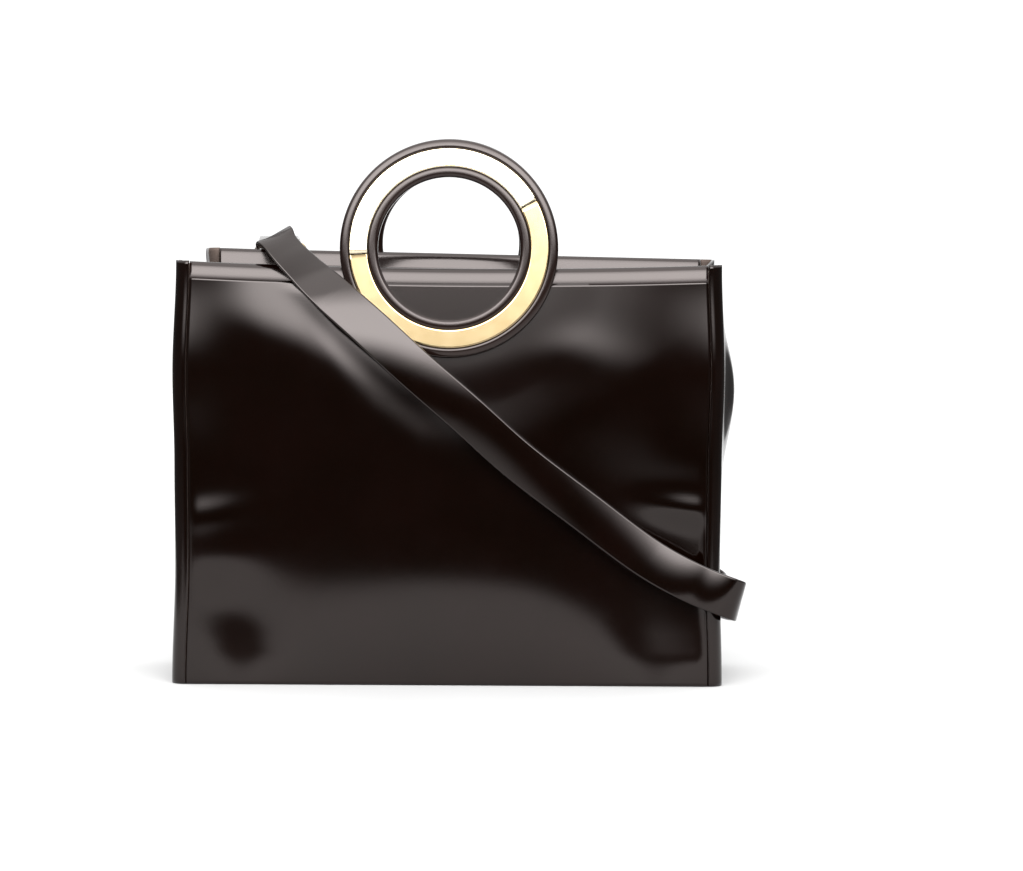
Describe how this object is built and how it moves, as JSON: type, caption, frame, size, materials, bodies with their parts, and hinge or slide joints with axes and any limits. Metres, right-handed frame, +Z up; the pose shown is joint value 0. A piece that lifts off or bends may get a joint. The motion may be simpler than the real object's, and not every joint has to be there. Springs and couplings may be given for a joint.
{
  "type": "ring handle bag",
  "caption": "Leather tote bag with a flat base, a leather-covered ring handle inlaid with polished metal on each broad side, and a shoulder strap drawn across the front",
  "frame": {"origin": "middle of the base panel's underside, on the floor", "axes": "+X to the bag's right seen from the front, -Y out of the front, +Z up"},
  "size_m": [0.3698, 0.1508, 0.3498],
  "materials": {
    "leather": "very dark brown smooth polished calf leather",
    "strap_leather": "very dark brown polished leather strap with painted edges",
    "ring_leather": "dark brown leather drawn tight over the ring",
    "gold": "polished pale gold plate",
    "screw": "plain nickel screw head"
  },
  "bodies": {
    "root": {"base_panel": "leather", "front_panel": "leather", "back_panel": "leather", "gusset_left": "leather", "gusset_right": "leather", "front_hem": "leather", "back_hem": "leather", "front_ring": "ring_leather", "back_ring": "ring_leather", "front_ring_plate_upper": "gold", "front_ring_plate_lower": "gold", "back_ring_plate_upper": "gold", "back_ring_plate_lower": "gold", "front_ring_screw_left": "screw", "front_ring_screw_right": "screw", "back_ring_screw_left": "screw", "back_ring_screw_right": "screw", "strap": "strap_leather", "strap_tab_left": "strap_leather", "strap_tab_right": "strap_leather", "strap_ring_left": "gold", "strap_ring_right": "gold"}
  },
  "joints": []
}
